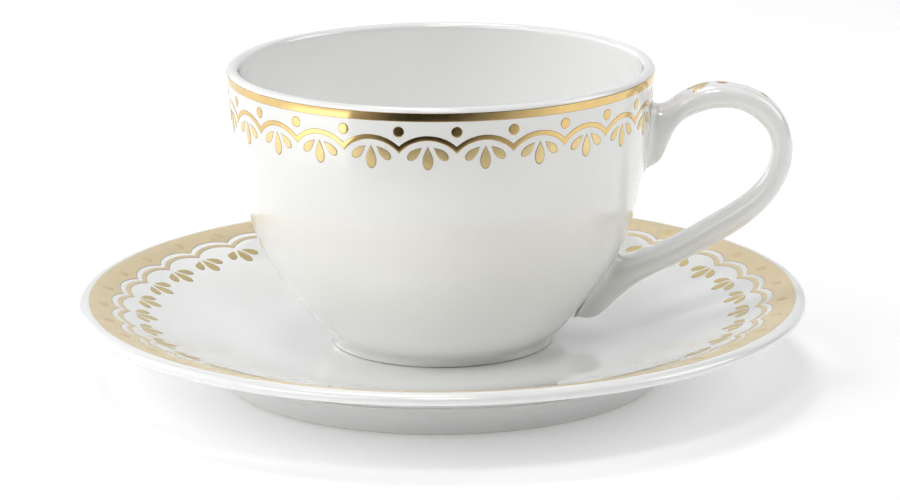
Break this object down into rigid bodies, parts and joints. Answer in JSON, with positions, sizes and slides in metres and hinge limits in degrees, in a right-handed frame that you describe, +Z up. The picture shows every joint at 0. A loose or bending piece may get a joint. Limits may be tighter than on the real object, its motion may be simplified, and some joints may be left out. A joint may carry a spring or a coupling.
{
  "type": "teacup",
  "caption": "Porcelain teacup with a looped handle standing on its saucer, with scalloped gold decoration round both rims.",
  "frame": {"origin": "centre of the saucer's foot ring, on the surface it stands on", "axes": "+Z up along the common axis of saucer and cup, +X from that axis towards the handle"},
  "size_m": [0.15, 0.15, 0.0653],
  "materials": {
    "porcelain": "glossy clear glaze over white porcelain",
    "slip": "glazed joining slip",
    "bright_gold": "burnished bright gold",
    "pale_gold": "pale satin gold"
  },
  "bodies": {
    "saucer": {"saucer": "porcelain", "saucer_gold_band": "pale_gold", "saucer_gold_scallop_line": "pale_gold"},
    "cup": {"cup_body": "porcelain", "cup_gold_dot_01": "bright_gold", "cup_gold_dot_02": "bright_gold", "cup_gold_dot_03": "bright_gold", "cup_gold_dot_04": "bright_gold", "cup_gold_dot_05": "bright_gold", "cup_gold_dot_06": "bright_gold", "cup_gold_dot_07": "bright_gold", "cup_gold_dot_08": "bright_gold", "cup_gold_dot_09": "bright_gold", "cup_gold_dot_10": "bright_gold", "cup_gold_dot_11": "bright_gold", "cup_gold_dot_12": "bright_gold", "cup_gold_dot_13": "bright_gold", "cup_gold_dot_14": "bright_gold", "cup_gold_dot_15": "bright_gold", "cup_gold_dot_16": "bright_gold", "cup_gold_dot_17": "bright_gold", "cup_gold_dot_18": "bright_gold", "cup_gold_dot_19": "bright_gold", "cup_gold_dot_20": "bright_gold", "cup_gold_dot_21": "bright_gold", "cup_gold_dot_22": "bright_gold", "cup_gold_dot_23": "bright_gold", "cup_gold_dot_24": "bright_gold", "cup_gold_rim_band": "bright_gold", "cup_gold_scallop_line": "bright_gold", "handle": "porcelain", "handle_lower_luting": "slip", "handle_upper_luting": "slip"}
  },
  "joints": [
    {"name": "cup_lift", "type": "slide", "parent": "saucer", "child": "cup", "axis": [0, 0, 1], "range_m": [0, 0.12]}
  ]
}
